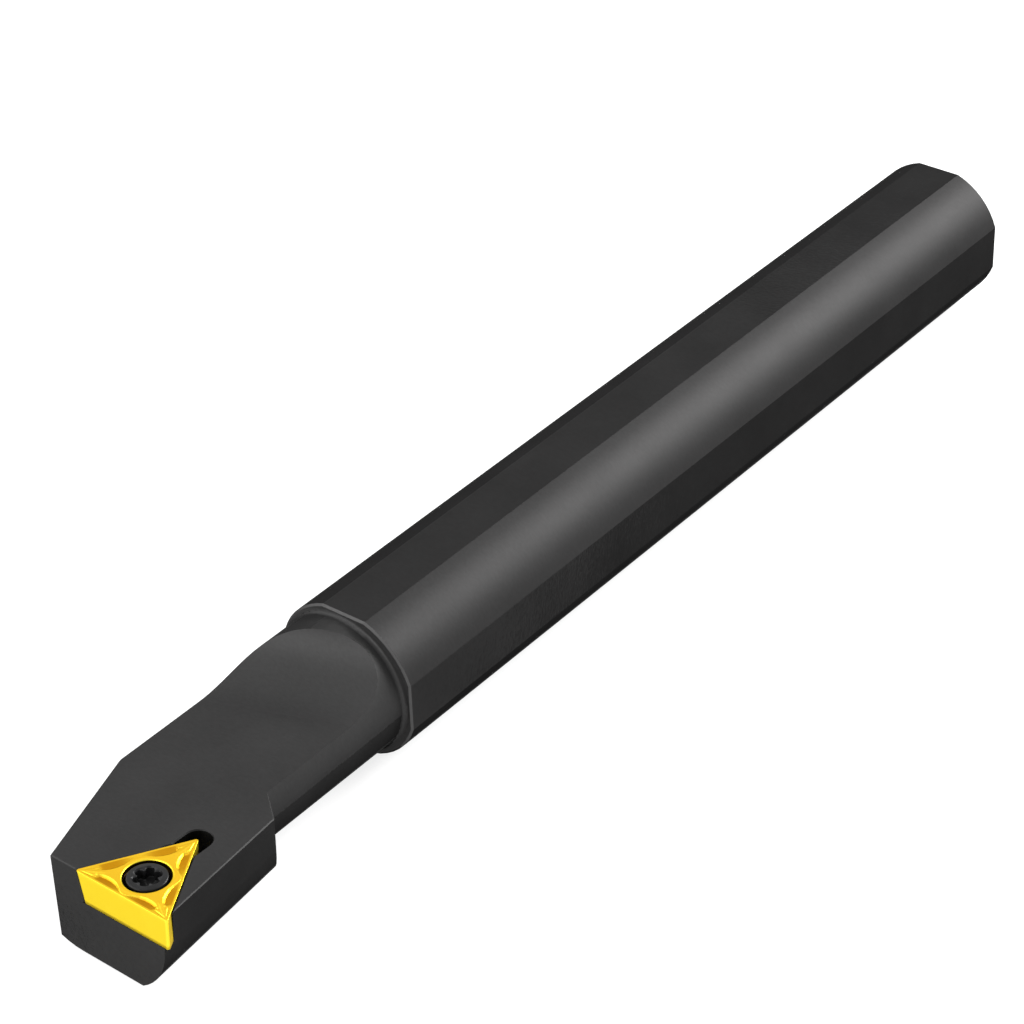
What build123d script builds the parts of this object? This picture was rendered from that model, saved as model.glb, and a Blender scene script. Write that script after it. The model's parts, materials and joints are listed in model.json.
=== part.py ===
from build123d import *

import os
from math import cos, radians, sin, tan

# A right-hand boring bar that holds a three-cornered insert with one screw. It lies
# along X with its head at +X, the cutting corner on the +Y side and the chip face up.
# The origin is the centre of the shank's back end face. Lengths are in millimetres
# and angles in degrees.

# Shank: a round bar with three flats milled along its whole length
shank_diameter = 16.0
shank_length = 103.8
flat_depth = 0.4
back_chamfer = 0.35
shoulder_chamfer = 0.2

# Neck: a thinner round, set away from the cutting side, with its upper half milled off
neck_and_head_length = 36.2
neck_diameter = 14.35
neck_sideways_shift = 0.4
neck_drop = 0.2
neck_root_radius = 0.4
neck_flat_height = 1.9
run_out_length = 9.3
run_out_radius = 7.0
run_out_turn = 21.0

# Head: its top rises towards the corner from a fold line that runs across the neck
head_rise = 1.0
fold_turn = 15.0
fold_setback = 16.4
edge_break = 0.1
front_setback = 0.12
far_side_width = 2.8
far_side_angle = 18.3
side_setback = 0.23
side_flare = 5.0
side_lean = 7.6
side_lean_height = 4.5
side_radius = 7.25
side_overlap = 4.2
underside_width = 3.7
heel_radius = 1.5
step_setback = 15.4
step_angle = 49.8

# Insert: a regular triangle, its size given by its inscribed circle
corner_spacing = 120.0
cutting_reach = 11.0
approach_angle = 91.5
insert_circle = 6.35
insert_thickness = 3.57
flank_angle = 5.0
nose_radius = 0.2
insert_bore = 2.8
seat_gap = 0.04
seat_mouth_radius = 0.12

# Chip breaker: two crescent troughs inside each edge, either side of its middle
land_width = 0.2
trough_length = 3.3
trough_width = 1.1
trough_depth = 0.22
trough_spread = 1.95

# Pocket: the insert's shape with a gap, and a slot that frees the insert's back corner
pocket_gap = 0.12
relief_radius = 1.33
relief_reach = 1.5
relief_depth = 0.3

# Clamp screw: countersunk head with a six-lobe socket
screw_diameter = 2.5
screw_length = 7.0
screw_head_diameter = 3.68
screw_head_edge = 0.25
screw_sink = 0.06
screw_crown = 0.2
screw_cone_angle = 60.0
screw_tip_chamfer = 0.3
screw_running_gap = 0.05
socket_diameter = 2.31
socket_root_diameter = 1.66
socket_depth = 1.1
socket_lobes = 6

# Values that follow from the sizes above
shank_radius = shank_diameter / 2
flat_height = shank_radius - flat_depth
neck_radius = neck_diameter / 2
neck_bottom = neck_drop + neck_radius
overall_length = shank_length + neck_and_head_length
blank_length = 2 * step_setback
inner_radius = insert_circle / 2
nose_distance = insert_circle - 2 * nose_radius
tip_heading = 150.0 - approach_angle
front_heading = tip_heading - corner_spacing / 2
insert_x = overall_length - nose_radius - nose_distance * cos(radians(tip_heading))
insert_y = cutting_reach - nose_radius - nose_distance * sin(radians(tip_heading))
screw_radius = screw_diameter / 2
screw_head_radius = screw_head_diameter / 2
cone_slope = tan(radians(screw_cone_angle / 2))


def heading(angle, rise=0.0):
    """Unit direction at an angle from +X in plan, raised above the horizontal."""
    level = cos(radians(rise))
    return Vector(level * cos(radians(angle)), level * sin(radians(angle)), sin(radians(rise)))


def head_top(x, y):
    """Height of the head's sloping top over a point in plan."""
    fold = Vector(overall_length - fold_setback, 0, 0)
    climb = (Vector(x, y, 0) - fold).dot(heading(fold_turn))
    return neck_flat_height + climb * tan(radians(head_rise))


def plane_of_the_insert():
    """The head's top plane, centred on the insert, with its x towards the cutting corner."""
    up = heading(fold_turn + 180.0, 90.0 - head_rise)
    across = up.cross(heading(tip_heading)).normalized()
    return Plane((insert_x, insert_y, head_top(insert_x, insert_y)), across.cross(up), up)


insert_plane = plane_of_the_insert()
clamp_axis = Axis(insert_plane.origin, insert_plane.z_dir)
clamp_profile_plane = Plane(insert_plane.origin, insert_plane.x_dir, -insert_plane.y_dir)


def draw_shank_section(inset=0.0):
    """Draw the round with its three flats in the open sketch, smaller by the inset."""
    flat = flat_height - inset
    Circle(shank_radius - inset)
    with Locations((flat, 0)):
        Rectangle(shank_diameter, 2 * flat, align=(Align.MAX, Align.CENTER), mode=Mode.INTERSECT)


def neck_blank():
    """Eccentric round with a concave root, trimmed to lie inside the shoulder's chamfer."""
    start = shank_length
    root_end = start + neck_root_radius
    axis_plane = Plane((0, -neck_sideways_shift, -neck_drop), (1, 0, 0), (0, -1, 0))
    with BuildPart() as blank:
        with BuildSketch(axis_plane):
            with BuildLine():
                Line((start, 0), (start, neck_radius + neck_root_radius))
                CenterArc((root_end, neck_radius + neck_root_radius), neck_root_radius, 180, 90)
                Line((root_end, neck_radius), (overall_length, neck_radius))
                Line((overall_length, neck_radius), (overall_length, 0))
                Line((overall_length, 0), (start, 0))
            make_face()
        revolve(axis=Axis(axis_plane.origin, (1, 0, 0)))
        with BuildSketch(Plane.YZ.offset(start)):
            draw_shank_section(inset=shoulder_chamfer)
        extrude(amount=neck_and_head_length, mode=Mode.INTERSECT)
    return blank.part


def head_blank():
    """Flared cutting side of the head and its flat underside, ending at the slanting step."""
    lean = radians(side_lean)
    top_y = cutting_reach - side_setback
    top_z = head_top(overall_length, top_y)
    bend_z = top_z - side_lean_height
    bend_y = top_y - side_lean_height * tan(lean)
    over_y = top_y + neck_radius * tan(lean)
    over_z = top_z + neck_radius
    arc_y = bend_y - side_radius * cos(lean)
    arc_z = bend_z + side_radius * sin(lean)
    arc_foot = arc_z - side_radius
    inner_y = neck_radius - neck_sideways_shift - side_overlap
    step_y = top_y - step_setback * tan(radians(side_flare))
    step_plane = Plane((overall_length - step_setback, step_y, 0), z_dir=heading(step_angle - 90.0))
    with BuildPart() as blank:
        with BuildSketch(Plane.YZ.offset(overall_length)) as section:
            with BuildLine():
                Line((over_y, over_z), (bend_y, bend_z))
                CenterArc((arc_y, arc_z), side_radius, -side_lean, side_lean - 90.0)
                Line((arc_y, arc_foot), (inner_y, arc_foot))
                Line((inner_y, arc_foot), (inner_y, over_z))
                Line((inner_y, over_z), (over_y, over_z))
            make_face()
            with Locations((0, -neck_bottom)):
                Rectangle(2 * shank_diameter, 2 * shank_diameter, align=(Align.CENTER, Align.MIN),
                          mode=Mode.INTERSECT)
            heel = section.vertices().group_by(Axis.Z)[0].sort_by(Axis.Y)[-1]
            fillet(heel, radius=heel_radius)
        extrude(amount=blank_length, dir=heading(180.0 + side_flare))
        with BuildSketch(Plane.YZ.offset(overall_length)):
            with Locations((-neck_sideways_shift, -neck_bottom)):
                Rectangle(underside_width, neck_bottom, align=Align.MIN)
        extrude(amount=-blank_length)
        split(bisect_by=step_plane, keep=Keep.TOP)
    return blank.part


def space_over_the_neck():
    """What is milled away above the neck's flat, its hollow run-out and the head's top."""
    flat_start = (shank_length + run_out_length, 0, neck_flat_height)
    run_out_plane = Plane(flat_start, heading(run_out_turn), heading(run_out_turn - 90.0))
    ceiling = run_out_radius + shank_diameter
    end = 2 * neck_and_head_length
    with BuildPart() as space:
        with BuildSketch(run_out_plane):
            with BuildLine():
                Line((-run_out_radius, ceiling), (-run_out_radius, run_out_radius))
                CenterArc((0, run_out_radius), run_out_radius, 180, 90)
                Line((0, 0), (end, 0))
                Line((end, 0), (end, ceiling))
                Line((end, ceiling), (-run_out_radius, ceiling))
            make_face()
        extrude(amount=2 * shank_diameter, both=True)
        split(bisect_by=insert_plane, keep=Keep.TOP)
    return space.part


def pocket_space():
    """The insert's pocket: two drafted walls and a floor, open at the front."""
    side = 2 * insert_circle
    corner = heading(corner_spacing)
    with BuildPart() as space:
        for depth in (insert_thickness, -insert_thickness):
            wall = inner_radius + pocket_gap - depth * tan(radians(flank_angle))
            centre = corner * (2 * wall - side)
            with BuildSketch(insert_plane.offset(-depth)):
                with Locations((centre.X, centre.Y)):
                    RegularPolygon(radius=side, side_count=3)
        loft(ruled=True)
    return space.part


# Bar body: shank, neck and head in one piece of steel
with BuildPart() as bar_body:
    with BuildSketch(Plane.YZ):
        draw_shank_section()
    extrude(amount=shank_length)
    end_faces = bar_body.faces().filter_by(Axis.X).sort_by(Axis.X)
    chamfer(end_faces[0].edges(), length=back_chamfer)
    chamfer(end_faces[-1].edges(), length=shoulder_chamfer)
    add(neck_blank())
    add(head_blank())
    add(space_over_the_neck(), mode=Mode.SUBTRACT)

    # The front face stands just behind the cutting edge and parallel to it
    front_point = Vector(insert_x, insert_y, 0) + heading(front_heading) * (inner_radius - front_setback)
    split(bisect_by=Plane(front_point, z_dir=heading(front_heading)), keep=Keep.BOTTOM)
    far_corner = (overall_length, -far_side_width, 0)
    split(bisect_by=Plane(far_corner, z_dir=heading(far_side_angle - 90.0)), keep=Keep.BOTTOM)

    # Pocket, the slot at its inner corner and the screw's hole through its floor
    add(pocket_space(), mode=Mode.SUBTRACT)
    relief_centre = heading(corner_spacing) * (nose_distance + nose_radius - relief_reach / 2)
    with BuildSketch(insert_plane):
        with Locations(Location((relief_centre.X, relief_centre.Y, 0), (0, 0, corner_spacing))):
            SlotCenterToCenter(relief_reach, 2 * relief_radius)
    extrude(amount=insert_thickness + relief_depth, both=True, mode=Mode.SUBTRACT)
    with BuildSketch(insert_plane):
        Circle(screw_radius + screw_running_gap)
    extrude(amount=-2 * shank_diameter, mode=Mode.SUBTRACT)

    # A fine break round the head's top, its pocket and the slot, but not where the top
    # meets the neck: along the fold and the elliptic edges on the neck's round
    head_face = bar_body.faces().filter_by(insert_plane).sort_by(clamp_axis)[-1]
    fold_line = Axis(insert_plane.origin, heading(fold_turn + 90.0))
    head_edges = head_face.edges().filter_by(GeomType.ELLIPSE, reverse=True)
    chamfer(head_edges.filter_by(fold_line, reverse=True), length=edge_break)
bar_body.part.label = "bar_body"


def trough_cutter():
    """A barrel lying along Y that cuts one crescent trough where it dips below z = 0."""
    half = trough_length / 2
    lift = ((trough_width / 2) ** 2 - trough_depth ** 2) / (2 * trough_depth)
    with BuildPart() as cutter:
        with BuildSketch(Plane.YZ):
            with BuildLine():
                ThreePointArc((-half, 0), (0, -trough_depth), (half, 0))
                Line((half, 0), (half, lift))
                Line((half, lift), (-half, lift))
                Line((-half, lift), (-half, 0))
            make_face()
        revolve(axis=Axis((0, 0, lift), (0, 1, 0)))
    return cutter.part


# Insert: three-cornered plate with drafted flanks, a countersunk hole and a moulded chip face
with BuildPart() as insert:
    for depth in (0, insert_thickness):
        inset = depth * tan(radians(flank_angle))
        with BuildSketch(insert_plane.offset(-depth)) as outline:
            RegularPolygon(radius=2 * (inner_radius - inset), side_count=3)
            fillet(outline.vertices(), radius=nose_radius)
    loft(ruled=True)
    with BuildSketch(clamp_profile_plane):
        seat_top = screw_head_radius + seat_gap + (screw_sink + screw_head_edge) * cone_slope
        seat_foot = (seat_top - insert_bore / 2) / cone_slope
        with BuildLine():
            Line((0, -2 * insert_thickness), (insert_bore / 2, -2 * insert_thickness))
            Line((insert_bore / 2, -2 * insert_thickness), (insert_bore / 2, -seat_foot))
            Line((insert_bore / 2, -seat_foot), (seat_top, 0))
            Line((seat_top, 0), (0, 0))
            Line((0, 0), (0, -2 * insert_thickness))
        make_face()
    revolve(axis=clamp_axis, mode=Mode.SUBTRACT)
    mouth = insert.edges().filter_by(GeomType.CIRCLE).sort_by(SortBy.RADIUS)[-1]
    fillet(mouth, radius=seat_mouth_radius)
    trough_line = inner_radius - land_width - trough_width / 2
    with Locations(insert_plane):
        with PolarLocations(trough_line, 3, start_angle=corner_spacing / 2):
            with Locations((0, -trough_spread), (0, trough_spread)):
                add(trough_cutter(), mode=Mode.SUBTRACT)
insert.part.label = "insert"


# Clamp screw: crowned countersunk head, plain shank at the thread's full size
with BuildPart() as clamp_screw:
    edge_top = -screw_sink
    crown_top = edge_top + screw_crown
    edge_foot = edge_top - screw_head_edge
    cone_foot = edge_foot - (screw_head_radius - screw_radius) / cone_slope
    screw_end = edge_top - screw_length
    with BuildSketch(clamp_profile_plane):
        with BuildLine():
            Line((0, screw_end), (0, crown_top))
            ThreePointArc((0, crown_top), (screw_head_radius / 2, crown_top - screw_crown / 4),
                          (screw_head_radius, edge_top))
            Line((screw_head_radius, edge_top), (screw_head_radius, edge_foot))
            Line((screw_head_radius, edge_foot), (screw_radius, cone_foot))
            Line((screw_radius, cone_foot), (screw_radius, screw_end + screw_tip_chamfer))
            Line((screw_radius, screw_end + screw_tip_chamfer), (screw_radius - screw_tip_chamfer, screw_end))
            Line((screw_radius - screw_tip_chamfer, screw_end), (0, screw_end))
        make_face()
    revolve(axis=clamp_axis)
    with BuildSketch(insert_plane.offset(crown_top)):
        Circle(socket_diameter / 2)
        rib_radius = (socket_diameter - socket_root_diameter) / 2
        with PolarLocations(socket_diameter / 2, socket_lobes, start_angle=180.0 / socket_lobes):
            Circle(rib_radius, mode=Mode.SUBTRACT)
    extrude(amount=-socket_depth, mode=Mode.SUBTRACT)
clamp_screw.part.label = "clamp_screw"


os.makedirs("parts", exist_ok=True)
export_step(bar_body.part, "parts/bar_body.step")
export_step(insert.part, "parts/insert.step")
export_step(clamp_screw.part, "parts/clamp_screw.step")
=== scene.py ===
"""Boring bar: blackened steel bar, gold-coated three-cornered insert and its clamp screw.

The bar's body is the CAD solid with a finish of its own. The insert and the screw are
surfaces worked out here, in metres, in the frame of the CAD model.
"""
import json
import math

import bpy
import numpy as np
from bpy.props import FloatProperty, FloatVectorProperty, IntProperty, PointerProperty
from mathutils import Matrix, Vector


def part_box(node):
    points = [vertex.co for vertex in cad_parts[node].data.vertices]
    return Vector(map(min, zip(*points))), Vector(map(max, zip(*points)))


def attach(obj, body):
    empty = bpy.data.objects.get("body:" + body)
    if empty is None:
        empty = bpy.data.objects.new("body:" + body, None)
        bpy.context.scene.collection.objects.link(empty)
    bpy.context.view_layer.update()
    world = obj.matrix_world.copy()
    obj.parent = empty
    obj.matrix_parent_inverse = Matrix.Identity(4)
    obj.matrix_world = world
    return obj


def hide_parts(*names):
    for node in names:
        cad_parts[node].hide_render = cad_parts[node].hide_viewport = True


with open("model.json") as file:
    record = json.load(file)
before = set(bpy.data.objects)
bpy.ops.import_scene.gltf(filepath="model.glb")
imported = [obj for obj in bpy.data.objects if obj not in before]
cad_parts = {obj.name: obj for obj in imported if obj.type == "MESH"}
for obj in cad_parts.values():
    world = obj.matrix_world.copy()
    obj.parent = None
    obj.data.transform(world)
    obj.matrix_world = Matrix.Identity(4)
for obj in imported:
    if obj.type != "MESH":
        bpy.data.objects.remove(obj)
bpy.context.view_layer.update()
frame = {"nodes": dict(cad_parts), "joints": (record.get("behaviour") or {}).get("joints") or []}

bl_info = {
    "name": "Boring bar",
    "version": (1, 0, 0),
    "blender": (4, 5, 0),
    "location": "View3D > Sidebar > Boring bar",
    "description": "Dresses a boring bar with its insert, clamp screw, finishes and stage",
    "category": "Object",
}

MM = 0.001
FULL_TURN = 2.0 * math.pi
CONE_SLOPE = math.tan(math.radians(30.0))  # of the screw's 60 degree cone and of its seat
BAR_MIDDLE = (0.07, 0.0, 0.0)

# The clamp screw's joint gives the insert's centre and the direction out of its chip face
SCREW_JOINT = next(joint for joint in frame["joints"] if joint["name"] == "screw_turn")
INSERT_CENTRE = np.array(SCREW_JOINT["pos_m"])
INSERT_UP = np.array(SCREW_JOINT["axis"]) / np.linalg.norm(SCREW_JOINT["axis"])
FLOOR_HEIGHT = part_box("bar_body")[0].z

# Relief of the chip face in mm: distance along an edge from its middle, and there the
# distance of the island's rim from the edge and the depth of the valley as a share
RIM_ALONG = (0.0, 0.3, 0.6, 0.9, 1.4, 2.0, 2.6, 3.1, 3.4, 3.55, 4.2, 4.8, 5.2)
RIM_INWARD = (0.26, 0.32, 0.5, 0.72, 1.0, 1.16, 1.18, 1.08, 0.95, 0.52, 0.42, 0.3, 0.2)
SINK_ALONG = (0.0, 0.25, 0.5, 0.9, 1.4, 2.0, 2.9, 3.25, 3.42, 3.55, 4.1, 4.7, 5.15)
SINK_SHARE = (0.1, 0.16, 0.34, 0.66, 0.9, 1.0, 1.0, 0.92, 0.5, 0.22, 0.4, 0.24, 0.0)

# Name, heading and height in degrees, distance in metres, sides in metres, power in watts
LAMPS = (
    ("soft_key", 156.0, 30.0, 0.6, (0.36, 0.22), 6.0),
    ("side_fill", -62.0, 38.0, 0.9, (0.9, 0.9), 4.6),
    ("front_fill", -5.0, 15.0, 0.9, (0.5, 0.5), 4.0),
)


# Sizes and colours

class InsertSizes(bpy.types.PropertyGroup):
    """Sizes of the three-cornered insert."""

    tip_heading: FloatProperty(
        name="Tip heading", description="Angle in plan from the bar's axis to the cutting corner",
        default=math.radians(58.5), subtype="ANGLE")
    inner_radius: FloatProperty(
        name="Inscribed radius", description="Distance from the centre to each cutting edge",
        default=3.175 * MM, unit="LENGTH")
    nose_radius: FloatProperty(
        name="Nose radius", description="Radius of the three corners in plan",
        default=0.2 * MM, unit="LENGTH")
    thickness: FloatProperty(
        name="Thickness", description="Height from the seat to the cutting edges",
        default=3.57 * MM, unit="LENGTH")
    flank_angle: FloatProperty(
        name="Flank angle", description="Slope of the flanks away from upright",
        default=math.radians(3.4), subtype="ANGLE")
    mouth_radius: FloatProperty(
        name="Mouth radius", description="Radius of the screw hole at the chip face",
        default=2.3 * MM, unit="LENGTH")
    mouth_roll: FloatProperty(
        name="Mouth rounding", description="Radius of the rounded rim of the screw hole",
        default=0.14 * MM, unit="LENGTH")
    mouth_depth: FloatProperty(
        name="Mouth depth", description="Depth of the upright wall round the screw's head",
        default=0.5 * MM, unit="LENGTH")
    seat_radius: FloatProperty(
        name="Seat radius", description="Radius of the screw's conical seat at its upper end",
        default=1.77 * MM, unit="LENGTH")
    bore_radius: FloatProperty(
        name="Bore radius", description="Radius of the hole below its countersink",
        default=1.4 * MM, unit="LENGTH")
    trough_depth: FloatProperty(
        name="Trough depth", description="Depth of the crescent troughs behind the cutting edges",
        default=0.18 * MM, unit="LENGTH")
    hone: FloatProperty(
        name="Hone", description="Rounding of the cutting edges",
        default=0.03 * MM, unit="LENGTH")


class ScrewSizes(bpy.types.PropertyGroup):
    """Sizes of the clamp screw."""

    head_radius: FloatProperty(
        name="Head radius", description="Radius of the countersunk head",
        default=1.84 * MM, unit="LENGTH")
    head_sink: FloatProperty(
        name="Head sink", description="Depth of the head's edge below the chip face",
        default=0.06 * MM, unit="LENGTH")
    head_edge: FloatProperty(
        name="Head edge", description="Height of the head's straight edge",
        default=0.25 * MM, unit="LENGTH")
    crown: FloatProperty(
        name="Crown", description="Rise of the head's domed top",
        default=0.14 * MM, unit="LENGTH")
    radius: FloatProperty(
        name="Thread radius", description="Radius over the thread's crests",
        default=1.25 * MM, unit="LENGTH")
    length: FloatProperty(
        name="Length", description="Distance from the head's edge to the tip",
        default=7.0 * MM, unit="LENGTH")
    pitch: FloatProperty(
        name="Thread pitch", description="Advance of the thread in one turn",
        default=0.45 * MM, unit="LENGTH")
    socket_radius: FloatProperty(
        name="Socket radius", description="Radius of the socket out to its lobes",
        default=1.3 * MM, unit="LENGTH")
    socket_root: FloatProperty(
        name="Socket root", description="Radius of the socket in to its ribs",
        default=0.92 * MM, unit="LENGTH")
    socket_mouth: FloatProperty(
        name="Socket mouth", description="Radius of the chamfered mouth of the socket",
        default=1.35 * MM, unit="LENGTH")
    socket_depth: FloatProperty(
        name="Socket depth", description="Depth of the six-lobe socket",
        default=1.05 * MM, unit="LENGTH")
    lobes: IntProperty(name="Lobes", description="Number of lobes of the socket", default=6, min=3)


class Finishes(bpy.types.PropertyGroup):
    """Colours of the bar, the insert and the screw."""

    steel: FloatVectorProperty(
        name="Blackened steel", description="Colour of the shank",
        default=(0.0365, 0.036, 0.036), subtype="COLOR", size=3, min=0.0, max=1.0)
    steel_head: FloatVectorProperty(
        name="Blackened steel, head", description="Colour of the neck and head",
        default=(0.051, 0.0505, 0.0505), subtype="COLOR", size=3, min=0.0, max=1.0)
    shoulder: FloatProperty(
        name="Shoulder",
        description="Distance from the back end to the shoulder, where the paler steel begins",
        default=103.8 * MM, unit="LENGTH")
    # Painted highlight: paler colour on the shank's front edge, where the chamfer catches the
    # light
    edge_highlight: FloatVectorProperty(
        name="Worn edge", description="Colour of the shank's rubbed front edge",
        default=(0.085, 0.084, 0.084), subtype="COLOR", size=3, min=0.0, max=1.0)
    # Painted shade: a near-black colour laid inside the slot behind the insert
    slot: FloatVectorProperty(
        name="Slot", description="Colour inside the slot at the insert's back corner",
        default=(0.008, 0.008, 0.008), subtype="COLOR", size=3, min=0.0, max=1.0)
    slot_middle: FloatVectorProperty(
        name="Slot middle", description="Place of the slot's middle in the part's frame",
        default=(131.5 * MM, 5.9 * MM, 1.6 * MM), subtype="TRANSLATION", size=3)
    gold: FloatVectorProperty(
        name="Gold coating", description="Colour of the insert's ground faces",
        default=(0.96, 0.73, 0.045), subtype="COLOR", size=3, min=0.0, max=1.0)
    gold_deep: FloatVectorProperty(
        name="Gold coating, moulded", description="Colour of the insert's moulded chip face",
        default=(0.96, 0.585, 0.03), subtype="COLOR", size=3, min=0.0, max=1.0)
    # Painted shade: amber laid down in the troughs, where the slopes fall into shade
    gold_trough_shade: FloatVectorProperty(
        name="Gold coating, troughs", description="Colour down in the chip breaker's troughs",
        default=(0.6, 0.28, 0.008), subtype="COLOR", size=3, min=0.0, max=1.0)
    # Painted shade: near-black colour inside the screw hole, which is gold-coated like the rest
    gold_bore_shade: FloatVectorProperty(
        name="Gold coating, hole", description="Colour inside the insert's screw hole",
        default=(0.03, 0.018, 0.008), subtype="COLOR", size=3, min=0.0, max=1.0)
    screw: FloatVectorProperty(
        name="Screw black", description="Colour of the clamp screw",
        default=(0.012, 0.012, 0.0125), subtype="COLOR", size=3, min=0.0, max=1.0)


class StageSettings(bpy.types.PropertyGroup):
    """Camera and light."""

    camera_place: FloatVectorProperty(
        name="Camera place", description="Where the camera stands",
        default=(0.277638, 0.160601, 0.178743), subtype="TRANSLATION", unit="LENGTH", size=3)
    camera_heading: FloatProperty(
        name="Camera heading", description="Direction in plan that the camera looks in",
        default=math.radians(218.909), subtype="ANGLE")
    camera_dip: FloatProperty(
        name="Camera dip", description="How far the camera looks down",
        default=math.radians(34.228), subtype="ANGLE")
    camera_roll: FloatProperty(
        name="Camera roll", description="Turn of the camera about its own axis",
        default=math.radians(-2.146), subtype="ANGLE")
    lens: FloatProperty(
        name="Lens", description="Focal length on a 36 mm sensor", default=112.44)
    floor_size: FloatProperty(
        name="Floor size", description="Side of the square floor", default=6.0, unit="LENGTH")
    sky: FloatProperty(
        name="Sky", description="Strength of the even light from all round", default=0.78, min=0.0)
    floor_glow: FloatProperty(
        name="Floor glow", description="Light of the floor's own as the camera sees it",
        default=0.78, min=0.0)


# Surfaces

def smooth(x):
    """Ease from 0 to 1: 3x^2 - 2x^3 of x held between 0 and 1."""
    x = np.clip(x, 0.0, 1.0)
    return x * x * (3.0 - 2.0 * x)


def surface(name, points, wrap=False, start_pole=False, end_pole=False):
    """Mesh object of a grid of points[v, u]. Each row closes on itself in u, and wrap joins
    the last row to the first. A pole closes the first or last row with a point at its middle."""
    rows, columns = points.shape[:2]
    index = np.arange(rows * columns).reshape(rows, columns)
    upper = index if wrap else index[:-1]
    lower = np.roll(index, -1, axis=0) if wrap else index[1:]
    quads = np.stack([upper, np.roll(upper, -1, 1), np.roll(lower, -1, 1), lower], -1)
    places = points.reshape(-1, 3)
    faces = [quads.ravel()]
    counts = [np.full(quads.size // 4, 4)]
    for wanted, row, flip in ((start_pole, index[0], False), (end_pole, index[-1], True)):
        if wanted:
            pole = len(places)
            places = np.vstack([places, places[row].mean(axis=0)])
            ahead, behind = (row, np.roll(row, -1)) if flip else (np.roll(row, -1), row)
            faces.append(np.stack([np.full(columns, pole), ahead, behind], -1).ravel())
            counts.append(np.full(columns, 3))
    corners, counts = np.concatenate(faces), np.concatenate(counts)
    mesh = bpy.data.meshes.new(name)
    mesh.vertices.add(len(places))
    mesh.vertices.foreach_set("co", places.astype(np.float32).ravel())
    mesh.loops.add(len(corners))
    mesh.loops.foreach_set("vertex_index", corners.astype(np.int32))
    mesh.polygons.add(len(counts))
    mesh.polygons.foreach_set("loop_start", (np.cumsum(counts) - counts).astype(np.int32))
    mesh.polygons.foreach_set("use_smooth", np.ones(len(counts), bool))
    mesh.update(calc_edges=True)
    mesh.validate()
    piece = bpy.data.objects.new(name, mesh)
    bpy.context.scene.collection.objects.link(piece)
    return piece


def in_frame(points, tip_heading):
    """Places in the part's frame of points that are given from the insert's centre, with z
    out of the chip face and x towards the cutting corner."""
    level = np.array([math.cos(tip_heading), math.sin(tip_heading), 0.0])
    across = np.cross(INSERT_UP, level)
    across /= np.linalg.norm(across)
    towards = np.cross(across, INSERT_UP)
    return INSERT_CENTRE + points @ np.stack([towards, across, INSERT_UP])


def triangle_outline(inner_radius, nose_radius, edge_steps=170, nose_steps=24, crowding=0.03):
    """Rounded triangle as x and y: three arcs of 120 degrees about the nose centres, each
    followed by the straight edge to the next arc, with points closer near the noses."""
    centre = 2.0 * (inner_radius - nose_radius)
    turn = np.radians(np.linspace(-60.0, 60.0, nose_steps))
    arc = np.stack([centre + nose_radius * np.cos(turn), nose_radius * np.sin(turn)], -1)
    third = np.radians(120.0)
    spin = np.array([[math.cos(third), math.sin(third)], [-math.sin(third), math.cos(third)]])
    following = arc[0] @ spin
    share = np.linspace(0.0, 1.0, edge_steps + 2)[1:-1, None]
    share = share - crowding * np.sin(FULL_TURN * share)
    edge = arc[-1] * (1.0 - share) + following * share
    side = np.vstack([arc, edge])
    return np.vstack([side, side @ spin, side @ spin @ spin])


def chip_face_height(x, y, inner_radius, depth):
    """Height of the moulded chip face, in metres, over places given from the insert's centre,
    and the shade of the troughs there, from 0 to 1.

    d is the distance in from the nearest cutting edge and t the distance along it from its
    middle. From the edge inward come a flat land, a slope down to the valley line, a slope up
    to the island's rim and the island. The rim's distance and the valley's depth are curves
    of t: two crescents either side of the middle, and a smaller groove at each end. On top
    lie a ridge on each corner's bisector, a ring round the hole and a dimple near each
    corner, each a bell curve of the distance from its middle. d, t and the numbers for them
    are in mm."""
    normals = np.radians([60.0, 180.0, 300.0])
    cosines, sines = np.cos(normals), np.sin(normals)
    inward = inner_radius - np.multiply.outer(x, cosines) - np.multiply.outer(y, sines)
    along = np.multiply.outer(y, cosines) - np.multiply.outer(x, sines)
    nearest = inward.argmin(axis=-1)[..., None]
    d = np.take_along_axis(inward, nearest, -1)[..., 0] / MM
    t = np.abs(np.take_along_axis(along, nearest, -1)[..., 0]) / MM

    land, land_fade, valley_share = 0.13, 0.12, 0.7
    rim = np.interp(t, RIM_ALONG, RIM_INWARD)
    sink = np.interp(t, SINK_ALONG, SINK_SHARE)
    valley = land + valley_share * (rim - land)
    fall = np.clip((d - land) / (valley - land), 0.0, 1.0)
    down = 0.5 * (fall + smooth(fall))
    up = smooth((d - valley) / (rim - valley))
    trough = -sink * down * (1.0 - up) * depth
    shade = sink * smooth((d - land) / land_fade) * (1.0 - up)

    ridge_height, ridge_width, ridge_start, ridge_end, ridge_fade = 0.035, 0.12, 2.9, 5.0, 0.6
    second = np.sort(inward, axis=-1)[..., 1] / MM
    off_bisector = (second - d) / (2.0 * math.sin(math.radians(60.0)))
    ridge = (np.exp(-(off_bisector / ridge_width) ** 2)
             * smooth((t - ridge_start) / ridge_fade) * smooth((ridge_end - t) / ridge_fade))
    ring_height, ring_radius, ring_width, ring_end, ring_fade = 0.03, 2.45, 0.22, 1.3, 0.8
    from_centre = np.hypot(x, y) / MM
    ring = (np.exp(-((from_centre - ring_radius) / ring_width) ** 2)
            * smooth((ring_end - t) / ring_fade))
    dimple_depth, dimple_along, dimple_inward = 0.06, 3.62, 0.62
    dimple_length, dimple_width = 0.16, 0.14
    dimple = np.exp(-((t - dimple_along) / dimple_length) ** 2
                    - ((d - dimple_inward) / dimple_width) ** 2)
    return trough + (ridge_height * ridge + ring_height * ring - dimple_depth * dimple) * MM, shade


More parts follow.
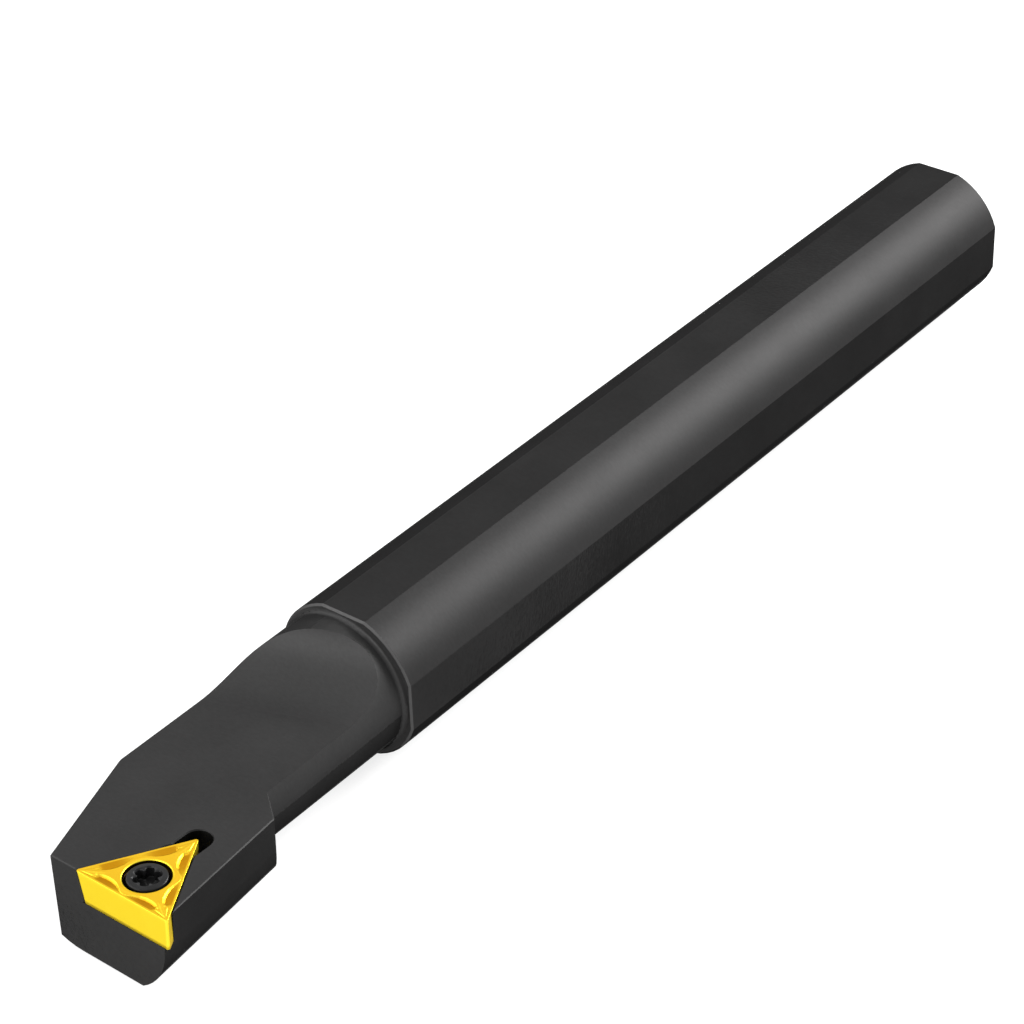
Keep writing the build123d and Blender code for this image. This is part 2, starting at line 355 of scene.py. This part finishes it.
def insert_points(sizes):
    """Closed surface of the insert, with the troughs' and the hole's shades at its points.
    u runs round the triangle. v runs from the hole's rim out over the chip face, round the
    hone, down the flank, in across the seat and up the hole."""
    radius, nose = sizes.inner_radius, sizes.nose_radius
    edge = triangle_outline(radius - sizes.hone, nose)
    round_angle = np.arctan2(edge[:, 1], edge[:, 0])
    ray = np.stack([np.cos(round_angle), np.sin(round_angle)], -1)
    rows = []

    def ring(outline, height, trough=0.0, bore=0.0):
        columns = [np.broadcast_to(value, len(outline)) for value in (height, trough, bore)]
        rows.append(np.column_stack([outline, *columns]))

    # Chip face, whose relief dies away next to the hole's rim
    level_share = 0.06
    for share in np.linspace(0.0, 1.0, 58):
        plan = ray * sizes.mouth_radius * (1.0 - share) + edge * share
        rise, trough = chip_face_height(plan[:, 0], plan[:, 1], radius, sizes.trough_depth)
        ring(plan, rise * min(1.0, share / level_share), trough)

    # Hone, flank and seat
    for turn in np.radians([30.0, 60.0, 90.0]):
        out = sizes.hone * (math.sin(turn) - 1.0)
        ring(triangle_outline(radius + out, nose), sizes.hone * (math.cos(turn) - 1.0))
    for share in np.linspace(0.0, 1.0, 9)[1:]:
        depth = share * sizes.thickness
        ring(triangle_outline(radius - depth * math.tan(sizes.flank_angle), nose), -depth)
    foot = rows[-1][:, :2]
    for share in (0.985, 0.9, 0.6, 0.3, 0.0):
        ring(ray * sizes.bore_radius * (1.0 - share) + foot * share, -sizes.thickness)

    # Hole, upwards: bore, cone, upright wall and rounded rim, with painted shade that fades out
    # over the rim
    bore_start = -0.995 * sizes.thickness
    seat_foot = -sizes.mouth_depth - (sizes.seat_radius - sizes.bore_radius) / CONE_SLOPE
    for height in np.linspace(bore_start, seat_foot, 6):
        ring(ray * sizes.bore_radius, height, bore=1.0)
    for share in np.linspace(0.0, 1.0, 8)[1:]:
        ring(ray * (sizes.bore_radius + share * (sizes.seat_radius - sizes.bore_radius)),
             seat_foot + share * (-sizes.mouth_depth - seat_foot), bore=1.0)
    for height in np.linspace(-sizes.mouth_depth, -sizes.mouth_roll, 6):
        ring(ray * (sizes.mouth_radius - sizes.mouth_roll), height, bore=1.0)
    shade_end, shade_fade = 0.7, 0.5
    for turn in np.radians(np.linspace(10.0, 80.0, 7)):
        ring(ray * (sizes.mouth_radius - sizes.mouth_roll * math.cos(turn)),
             sizes.mouth_roll * (math.sin(turn) - 1.0),
             bore=float(smooth((shade_end - turn) / shade_fade)))
    return np.stack(rows)


def screw_points(sizes, columns=432, thread_rows=96):
    """Surface of revolution whose radius also depends on the turn u. v runs from the socket's
    floor up its lobed wall, over the crown, down the head's cone and along the thread to the
    tip. The socket's radius is a - b ((1 + cos 6u) / 2)^2.6, and the thread's falls by a
    V-shaped groove whose phase is z / pitch + u / 2 pi."""
    rib_sharpness = 2.6
    turn = np.linspace(0.0, FULL_TURN, columns, endpoint=False)
    rib = (0.5 + 0.5 * np.cos(sizes.lobes * turn)) ** rib_sharpness
    lobes = sizes.socket_radius - (sizes.socket_radius - sizes.socket_root) * rib
    top = -sizes.head_sink
    rows = []

    def crown_height(radius):
        share = radius / sizes.head_radius
        return top + sizes.crown * (1.0 - share ** 2)

    def ring(radius, height):
        radius, height = np.broadcast_to(radius, columns), np.broadcast_to(height, columns)
        rows.append(np.column_stack([radius * np.cos(turn), radius * np.sin(turn), height]))

    # Socket: dished floor, lobed wall and chamfered mouth
    floor, dish_share, dish_depth = top - sizes.socket_depth, 0.8, 0.15 * MM
    chamfer = 0.11 * MM
    for share in (0.04, 0.3, 0.6, 0.85):
        ring(lobes * share * dish_share, floor - (1.0 - share) * dish_depth)
    for share in (0.97, 1.0):
        ring(lobes * share, floor + (share - 0.97) * MM)
    chamfer_foot = crown_height(sizes.socket_mouth) - chamfer
    for height in np.linspace(floor + 0.05 * MM, chamfer_foot, 8):
        ring(lobes, height)
    for share in (0.1, 0.4, 0.7, 0.95, 1.0):
        ring(lobes + (sizes.socket_mouth - lobes) * share, chamfer_foot + chamfer * smooth(share))

    # Head: crown, rounded edge, upright edge and cone
    rounding = 0.13 * MM
    outer = sizes.head_radius - rounding
    for radius in np.linspace(sizes.socket_mouth, outer, 12)[1:]:
        ring(radius, crown_height(radius))
    for angle in np.radians([30.0, 60.0, 90.0]):
        ring(outer + rounding * math.sin(angle),
             crown_height(outer) - rounding * (1.0 - math.cos(angle)))
    edge_foot = top - sizes.head_edge
    ring(sizes.head_radius, edge_foot + 0.02 * MM)
    cone_foot = edge_foot - (sizes.head_radius - sizes.radius) / CONE_SLOPE
    for share in np.linspace(0.0, 1.0, 7):
        ring(sizes.head_radius + share * (sizes.radius - sizes.head_radius),
             edge_foot + share * (cone_foot - edge_foot))

    # Thread, which fades in below the cone, and the chamfered tip
    tip = top - sizes.length
    groove, groove_slope, groove_floor = 0.61 * sizes.pitch, 1.15, 0.85
    fade_length, tip_chamfer, tip_inset = 1.2 * sizes.pitch, 0.3 * MM, 0.32 * MM
    for height in np.linspace(cone_foot - 0.05 * MM, tip + 0.02 * MM, thread_rows):
        phase = (height / sizes.pitch + turn / FULL_TURN) % 1.0
        notch = np.clip(1.0 - np.abs(phase - 0.5) * 2.0 * groove_slope, 0.0, groove_floor)
        fade = smooth((cone_foot - height) / fade_length)
        inset = np.clip(tip_chamfer - (height - tip), 0.0, None)
        ring(np.minimum(sizes.radius - notch * groove * fade, sizes.radius - inset), height)
    for share in (1.0, 0.5):
        ring((sizes.radius - tip_inset) * share, tip)
    return np.stack(rows)


# Nodes

def empty_tree(owner):
    """Turn on the nodes of a material or world and return its emptied nodes and links."""
    owner.use_nodes = True
    owner.node_tree.nodes.clear()
    return owner.node_tree.nodes, owner.node_tree.links


def add_node(nodes, kind, place, **settings):
    """Add a node at a place in its tree, with settings of its own."""
    node = nodes.new(kind)
    node.location = place
    for name, value in settings.items():
        setattr(node, name, value)
    return node


def feed(links, given, socket):
    """Link an output to a socket, or set the socket to a plain value."""
    if isinstance(given, bpy.types.NodeSocket):
        links.new(given, socket)
    else:
        socket.default_value = given


def math_node(nodes, links, operation, first, second, place, clamp=False):
    """Work out a number from two outputs or plain numbers and return the output."""
    node = add_node(nodes, "ShaderNodeMath", place, operation=operation, use_clamp=clamp)
    feed(links, first, node.inputs[0])
    feed(links, second, node.inputs[1])
    return node.outputs[0]


def map_range(nodes, links, value, given, wanted, place):
    """Map the given range of a value, held to its ends, onto the wanted range."""
    node = add_node(nodes, "ShaderNodeMapRange", place)
    for socket, end in zip(("From Min", "From Max", "To Min", "To Max"), (*given, *wanted)):
        node.inputs[socket].default_value = end
    links.new(value, node.inputs["Value"])
    return node.outputs["Result"]


def component(nodes, links, vector, axis, place):
    """Take one axis of a vector output."""
    split = add_node(nodes, "ShaderNodeSeparateXYZ", place)
    links.new(vector, split.inputs[0])
    return split.outputs[axis]


def layered(nodes, links, mask, under, over, place):
    """Lay a plain colour over a plain colour or a colour output, where the mask is 1."""
    mix = add_node(nodes, "ShaderNodeMix", place, data_type="RGBA")
    links.new(mask, mix.inputs["Factor"])
    is_output = isinstance(under, bpy.types.NodeSocket)
    feed(links, under if is_output else (*under, 1.0), mix.inputs["A"])
    mix.inputs["B"].default_value = (*over, 1.0)
    return mix.outputs["Result"]


def noise(nodes, links, vector, scale, detail, roughness, place):
    """Noise on a vector output, with its scale from an output too."""
    node = add_node(nodes, "ShaderNodeTexNoise", place)
    links.new(vector, node.inputs["Vector"])
    links.new(scale, node.inputs["Scale"])
    node.inputs["Detail"].default_value = detail
    node.inputs["Roughness"].default_value = roughness
    return node.outputs["Fac"]


def group_socket(group, name, kind, default=None, output=False):
    """Add a named input or output to a node group."""
    side = "OUTPUT" if output else "INPUT"
    made = group.interface.new_socket(name=name, in_out=side, socket_type=kind)
    if default is not None:
        made.default_value = default


def grain_group():
    """Fine grain and broad mottling on object coordinates. Scale and Stretch set the grain,
    and the outputs are a bump height and a slow mask from 0 to 1."""
    group = bpy.data.node_groups.get("fine_grain")
    if group:
        return group
    group = bpy.data.node_groups.new("fine_grain", "ShaderNodeTree")
    group_socket(group, "Scale", "NodeSocketFloat", 1.0)
    group_socket(group, "Stretch", "NodeSocketVector", (1.0, 1.0, 1.0))
    group_socket(group, "Mottle Scale", "NodeSocketFloat", 300.0)
    group_socket(group, "Height", "NodeSocketFloat", output=True)
    group_socket(group, "Mottle", "NodeSocketFloat", output=True)
    nodes, links = group.nodes, group.links
    given = add_node(nodes, "NodeGroupInput", (-800, 0)).outputs
    result = add_node(nodes, "NodeGroupOutput", (400, 0)).inputs
    place = add_node(nodes, "ShaderNodeTexCoord", (-800, 250)).outputs["Object"]
    stretched = add_node(nodes, "ShaderNodeVectorMath", (-550, 200), operation="MULTIPLY")
    links.new(place, stretched.inputs[0])
    links.new(given["Stretch"], stretched.inputs[1])
    grain = noise(nodes, links, stretched.outputs[0], given["Scale"], 4.0, 0.65, (-300, 200))
    mottle = noise(nodes, links, place, given["Mottle Scale"], 3.0, 0.5, (-300, -100))
    links.new(grain, result["Height"])
    links.new(map_range(nodes, links, mottle, (0.3, 0.7), (0.0, 1.0), (0, -100)),
              result["Mottle"])
    return group


# Finishes

def new_material(name, grain_scale, grain_stretch, mottle_scale):
    """Material whose tree holds a Principled shader and the shared grain with its own values."""
    material = bpy.data.materials.new(name)
    nodes, links = empty_tree(material)
    shader = add_node(nodes, "ShaderNodeBsdfPrincipled", (300, 0))
    output = add_node(nodes, "ShaderNodeOutputMaterial", (650, 0))
    links.new(shader.outputs[0], output.inputs["Surface"])
    grain = add_node(nodes, "ShaderNodeGroup", (-500, -150), node_tree=grain_group())
    grain.inputs["Scale"].default_value = grain_scale
    grain.inputs["Stretch"].default_value = grain_stretch
    grain.inputs["Mottle Scale"].default_value = mottle_scale
    return material, nodes, links, shader, grain.outputs


def add_texture(nodes, links, shader, grain, roughness, bump_strength, bump_distance):
    """Let the mottling set the roughness within a range, and the grain bump the normal."""
    links.new(map_range(nodes, links, grain["Mottle"], (0.0, 1.0), roughness, (0, -50)),
              shader.inputs["Roughness"])
    bump = add_node(nodes, "ShaderNodeBump", (50, -300))
    bump.inputs["Strength"].default_value = bump_strength
    bump.inputs["Distance"].default_value = bump_distance
    links.new(grain["Height"], bump.inputs["Height"])
    links.new(bump.outputs["Normal"], shader.inputs["Normal"])


def steel_material(colours):
    """Blackened steel: fine speckle drawn round the bar, faint mottling and a satin sheen that
    dies away at grazing angles. The neck and head, beyond the shoulder, are a little paler than
    the shank; its front edge has a painted highlight and the slot behind the insert painted shade."""
    material, nodes, links, shader, grain = new_material(
        "blackened_steel", 3800.0, (1.0, 0.5, 0.5), 160.0)
    place = add_node(nodes, "ShaderNodeTexCoord", (-1000, 400)).outputs["Object"]

    # Shank, then neck and head
    edge_break = 0.1 * MM
    front_edge = colours.shoulder - edge_break
    along = component(nodes, links, place, "X", (-800, 400))
    beyond = map_range(nodes, links, along, (front_edge, colours.shoulder + edge_break),
                       (0.0, 1.0), (-600, 400))
    colour = layered(nodes, links, beyond, colours.steel, colours.steel_head, (-350, 400))

    # Painted highlight: a paler band along the shank's front edge, on the shoulder's chamfer
    offset = math_node(nodes, links, "SUBTRACT", along, front_edge, (-800, 100))
    away = math_node(nodes, links, "ABSOLUTE", offset, 0.0, (-650, 100))
    highlighted = map_range(nodes, links, away, (0.08 * MM, 0.11 * MM), (1.0, 0.0), (-500, 100))
    colour = layered(nodes, links, highlighted, colour, colours.edge_highlight, (-250, 550))

    # Painted shade in the slot: darker near its middle, where the surface doesn't face up
    reach = add_node(nodes, "ShaderNodeVectorMath", (-800, 650), operation="DISTANCE")
    links.new(place, reach.inputs[0])
    reach.inputs[1].default_value = colours.slot_middle
    near = map_range(nodes, links, reach.outputs["Value"], (2.2 * MM, 2.6 * MM), (1.0, 0.0),
                     (-600, 650))
    normal = add_node(nodes, "ShaderNodeNewGeometry", (-1000, 900)).outputs["Normal"]
    upward = component(nodes, links, normal, "Z", (-800, 900))
    wall = map_range(nodes, links, upward, (0.6, 0.95), (1.0, 0.0), (-600, 900))
    slot_shade = math_node(nodes, links, "MULTIPLY", near, wall, (-400, 750))
    colour = layered(nodes, links, slot_shade, colour, colours.slot, (-200, 500))

    # Mottling and speckle
    mottled = map_range(nodes, links, grain["Mottle"], (0.0, 1.0), (0.96, 1.04), (-350, 150))
    speckled = map_range(nodes, links, grain["Height"], (0.3, 0.7), (0.94, 1.06), (-350, -50))
    shade = math_node(nodes, links, "MULTIPLY", mottled, speckled, (-200, 50))
    shaded = add_node(nodes, "ShaderNodeVectorMath", (-100, 300), operation="SCALE")
    links.new(colour, shaded.inputs[0])
    links.new(shade, shaded.inputs["Scale"])
    links.new(shaded.outputs[0], shader.inputs["Base Color"])

    shader.inputs["Metallic"].default_value = 0.76
    shader.inputs["Specular IOR Level"].default_value = 0.0
    shader.inputs["Specular Tint"].default_value = (0.0, 0.0, 0.0, 1.0)
    add_texture(nodes, links, shader, grain, (0.51, 0.55), 0.45, 0.012 * MM)
    return material


def gold_material(colours):
    """Hard gold coating: bright on the ground flanks, deeper on the moulded chip face, with
    painted amber shade in the troughs and painted dark shade inside the hole."""
    material, nodes, links, shader, grain = new_material(
        "gold_coating", 14000.0, (1.0, 1.0, 1.0), 500.0)
    normal = add_node(nodes, "ShaderNodeNewGeometry", (-1200, 300)).outputs["Normal"]
    upward = component(nodes, links, normal, "Z", (-1000, 300))
    moulded = map_range(nodes, links, upward, (0.9, 0.99), (0.0, 1.0), (-800, 300))
    colour = layered(nodes, links, moulded, colours.gold, colours.gold_deep, (-550, 300))
    # Painted shade from the points' attributes: amber in the troughs, near black inside the hole
    for name, tone, column in (("trough", colours.gold_trough_shade, -300),
                               ("bore", colours.gold_bore_shade, -50)):
        shade = add_node(nodes, "ShaderNodeAttribute", (column, 600), attribute_name=name)
        colour = layered(nodes, links, shade.outputs["Fac"], colour, tone, (column, 300))
    links.new(colour, shader.inputs["Base Color"])
    shader.inputs["Metallic"].default_value = 0.85
    shader.inputs["Specular Tint"].default_value = (0.15, 0.07, 0.01, 1.0)
    add_texture(nodes, links, shader, grain, (0.33, 0.39), 0.15, 0.006 * MM)
    return material


def screw_material(colours):
    """Black oxide on the screw, glossier than the bar and faintly mottled."""
    material, nodes, links, shader, grain = new_material(
        "screw_black", 12000.0, (1.0, 1.0, 1.0), 900.0)
    base, mottling = np.array(colours.screw), 0.15
    colour = layered(nodes, links, grain["Mottle"], tuple(base * (1.0 - mottling)),
                     tuple(base * (1.0 + mottling)), (0, 200))
    links.new(colour, shader.inputs["Base Color"])
    shader.inputs["Specular IOR Level"].default_value = 0.2
    add_texture(nodes, links, shader, grain, (0.28, 0.36), 0.2, 0.006 * MM)
    return material


# Stage

def directly_seen(nodes, links, places):
    """Sum of the camera, glossy and transmission rays, 1 where the white ground is seen."""
    rays = add_node(nodes, "ShaderNodeLightPath", places[0]).outputs
    pair = math_node(nodes, links, "ADD", rays["Is Camera Ray"], rays["Is Glossy Ray"], places[1])
    return math_node(nodes, links, "ADD", pair, rays["Is Transmission Ray"], places[2], clamp=True)


def floor_material(glow_strength):
    """Floor that keeps the shadow, and glows to white for the camera and in reflections."""
    material = bpy.data.materials.new("pale_floor")
    nodes, links = empty_tree(material)
    diffuse = add_node(nodes, "ShaderNodeBsdfDiffuse", (0, -200))
    diffuse.inputs["Color"].default_value = (0.4, 0.4, 0.4, 1.0)
    seen = directly_seen(nodes, links, ((-800, 0), (-600, 0), (-400, 0)))
    strength = math_node(nodes, links, "MULTIPLY", seen, glow_strength, (-200, 0))
    glow = add_node(nodes, "ShaderNodeEmission", (0, 0))
    links.new(strength, glow.inputs["Strength"])
    both = add_node(nodes, "ShaderNodeAddShader", (200, 0))
    links.new(diffuse.outputs[0], both.inputs[0])
    links.new(glow.outputs[0], both.inputs[1])
    output = add_node(nodes, "ShaderNodeOutputMaterial", (400, 0))
    links.new(both.outputs[0], output.inputs["Surface"])
    return material


def white_world(strength):
    """Even sky light, seen as white by the camera and in reflections."""
    world = bpy.data.worlds.new("even_sky")
    nodes, links = empty_tree(world)
    seen = directly_seen(nodes, links, ((-800, 0), (-600, 0), (-400, 0)))
    sky = add_node(nodes, "ShaderNodeBackground", (0, 0))
    links.new(map_range(nodes, links, seen, (0.0, 1.0), (strength, 1.0), (-200, 0)),
              sky.inputs["Strength"])
    output = add_node(nodes, "ShaderNodeOutputWorld", (200, 0))
    links.new(sky.outputs[0], output.inputs["Surface"])
    return world


def pale_floor(side, glow_strength):
    """Square floor at the height of the bar's lowest face."""
    half = side / 2
    corners = [(x * half, y * half, FLOOR_HEIGHT) for x, y in ((-1, -1), (1, -1), (1, 1), (-1, 1))]
    mesh = bpy.data.meshes.new("pale_floor")
    mesh.from_pydata(corners, [], [(0, 1, 2, 3)])
    mesh.materials.append(floor_material(glow_strength))
    return bpy.data.objects.new("pale_floor", mesh)


def area_lamp(name, heading, height, distance, sides, power):
    """Soft rectangular lamp aimed at the bar's middle from a heading and a height in degrees."""
    lamp = bpy.data.lights.new(name, "AREA")
    lamp.shape = "RECTANGLE"
    lamp.size, lamp.size_y = sides
    lamp.energy = power
    heading, height = math.radians(heading), math.radians(height)
    out = Vector((math.cos(height) * math.cos(heading), math.cos(height) * math.sin(heading),
                  math.sin(height)))
    holder = bpy.data.objects.new(name, lamp)
    holder.location = Vector(BAR_MIDDLE) + distance * out
    holder.rotation_mode = "QUATERNION"
    holder.rotation_quaternion = out.to_track_quat("Z", "Y")
    return holder


def photo_camera(settings):
    """Camera at its place, turned by its heading, its dip and its roll."""
    heading, dip, roll = settings.camera_heading, settings.camera_dip, settings.camera_roll
    ahead = np.array([math.cos(dip) * math.cos(heading), math.cos(dip) * math.sin(heading),
                      -math.sin(dip)])
    right = np.array([math.sin(heading), -math.cos(heading), 0.0])
    above = np.cross(right, ahead)
    turned = right * math.cos(roll) + above * math.sin(roll)
    upright = above * math.cos(roll) - right * math.sin(roll)
    data = bpy.data.cameras.new("photo_camera")
    data.sensor_width = 36.0
    data.lens = settings.lens
    data.clip_start, data.clip_end = 0.01, 20.0
    camera = bpy.data.objects.new("photo_camera", data)
    axes = np.column_stack([turned, upright, -ahead, settings.camera_place])
    camera.matrix_world = Matrix([*axes.tolist(), [0.0, 0.0, 0.0, 1.0]])
    return camera


# Operators

class BoringBarBody(bpy.types.Operator):
    """Give the bar's body its blackened steel"""

    bl_idname = "boring_bar.body"
    bl_label = "Bar body"

    def execute(self, context):
        body = frame["nodes"]["bar_body"]
        body.data.materials.clear()
        body.data.materials.append(steel_material(context.scene.boring_bar_finishes))
        return {"FINISHED"}


class BoringBarInsert(bpy.types.Operator):
    """Make the insert with its moulded chip face"""

    bl_idname = "boring_bar.insert"
    bl_label = "Insert"

    def execute(self, context):
        sizes = context.scene.boring_bar_insert
        grid = insert_points(sizes)
        piece = surface("coated_insert", in_frame(grid[..., :3], sizes.tip_heading), wrap=True)
        for name, column in (("trough", 3), ("bore", 4)):
            values = piece.data.attributes.new(name, "FLOAT", "POINT")
            values.data.foreach_set("value", grid[..., column].astype(np.float32).ravel())
        piece.data.materials.append(gold_material(context.scene.boring_bar_finishes))
        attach(piece, "insert")
        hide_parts("insert")
        return {"FINISHED"}


class BoringBarScrew(bpy.types.Operator):
    """Make the clamp screw with its socket and thread"""

    bl_idname = "boring_bar.screw"
    bl_label = "Clamp screw"

    def execute(self, context):
        heading = context.scene.boring_bar_insert.tip_heading
        points = in_frame(screw_points(context.scene.boring_bar_screw), heading)
        piece = surface("threaded_screw", points, start_pole=True, end_pole=True)
        piece.data.materials.append(screw_material(context.scene.boring_bar_finishes))
        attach(piece, "screw")
        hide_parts("clamp_screw")
        return {"FINISHED"}


class BoringBarStage(bpy.types.Operator):
    """Set out the floor, the lamps and the camera"""

    bl_idname = "boring_bar.stage"
    bl_label = "Stage"

    def execute(self, context):
        scene, settings = context.scene, context.scene.boring_bar_stage
        scene.view_settings.view_transform = "Standard"
        scene.world = white_world(settings.sky)
        floor = pale_floor(settings.floor_size, settings.floor_glow)
        camera = photo_camera(settings)
        for item in (floor, *(area_lamp(*lamp) for lamp in LAMPS), camera):
            scene.collection.objects.link(item)
        scene.camera = camera
        return {"FINISHED"}


class BoringBarPanel(bpy.types.Panel):
    """Sizes, colours and steps of the boring bar"""

    bl_idname = "VIEW3D_PT_boring_bar"
    bl_label = "Boring bar"
    bl_space_type = "VIEW_3D"
    bl_region_type = "UI"
    bl_category = "Boring bar"

    def draw(self, context):
        for label, group in GROUPS:
            box = self.layout.box()
            box.label(text=group.__doc__)
            settings = getattr(context.scene, label)
            for name in group.__annotations__:
                box.prop(settings, name)
        for step in STEPS:
            self.layout.operator(step.bl_idname)


GROUPS = (
    ("boring_bar_insert", InsertSizes),
    ("boring_bar_screw", ScrewSizes),
    ("boring_bar_finishes", Finishes),
    ("boring_bar_stage", StageSettings),
)
STEPS = (BoringBarBody, BoringBarInsert, BoringBarScrew, BoringBarStage)


def register():
    for label, group in GROUPS:
        bpy.utils.register_class(group)
        setattr(bpy.types.Scene, label, PointerProperty(type=group))
    for step in STEPS:
        bpy.utils.register_class(step)
    bpy.utils.register_class(BoringBarPanel)


def unregister():
    bpy.utils.unregister_class(BoringBarPanel)
    for step in reversed(STEPS):
        bpy.utils.unregister_class(step)
    for label, group in reversed(GROUPS):
        delattr(bpy.types.Scene, label)
        bpy.utils.unregister_class(group)


def main():
    """Make every piece in order."""
    register()
    bpy.ops.boring_bar.body()
    bpy.ops.boring_bar.insert()
    bpy.ops.boring_bar.screw()
    bpy.ops.boring_bar.stage()
    bpy.context.view_layer.update()


if __name__ == "__main__":
    main()
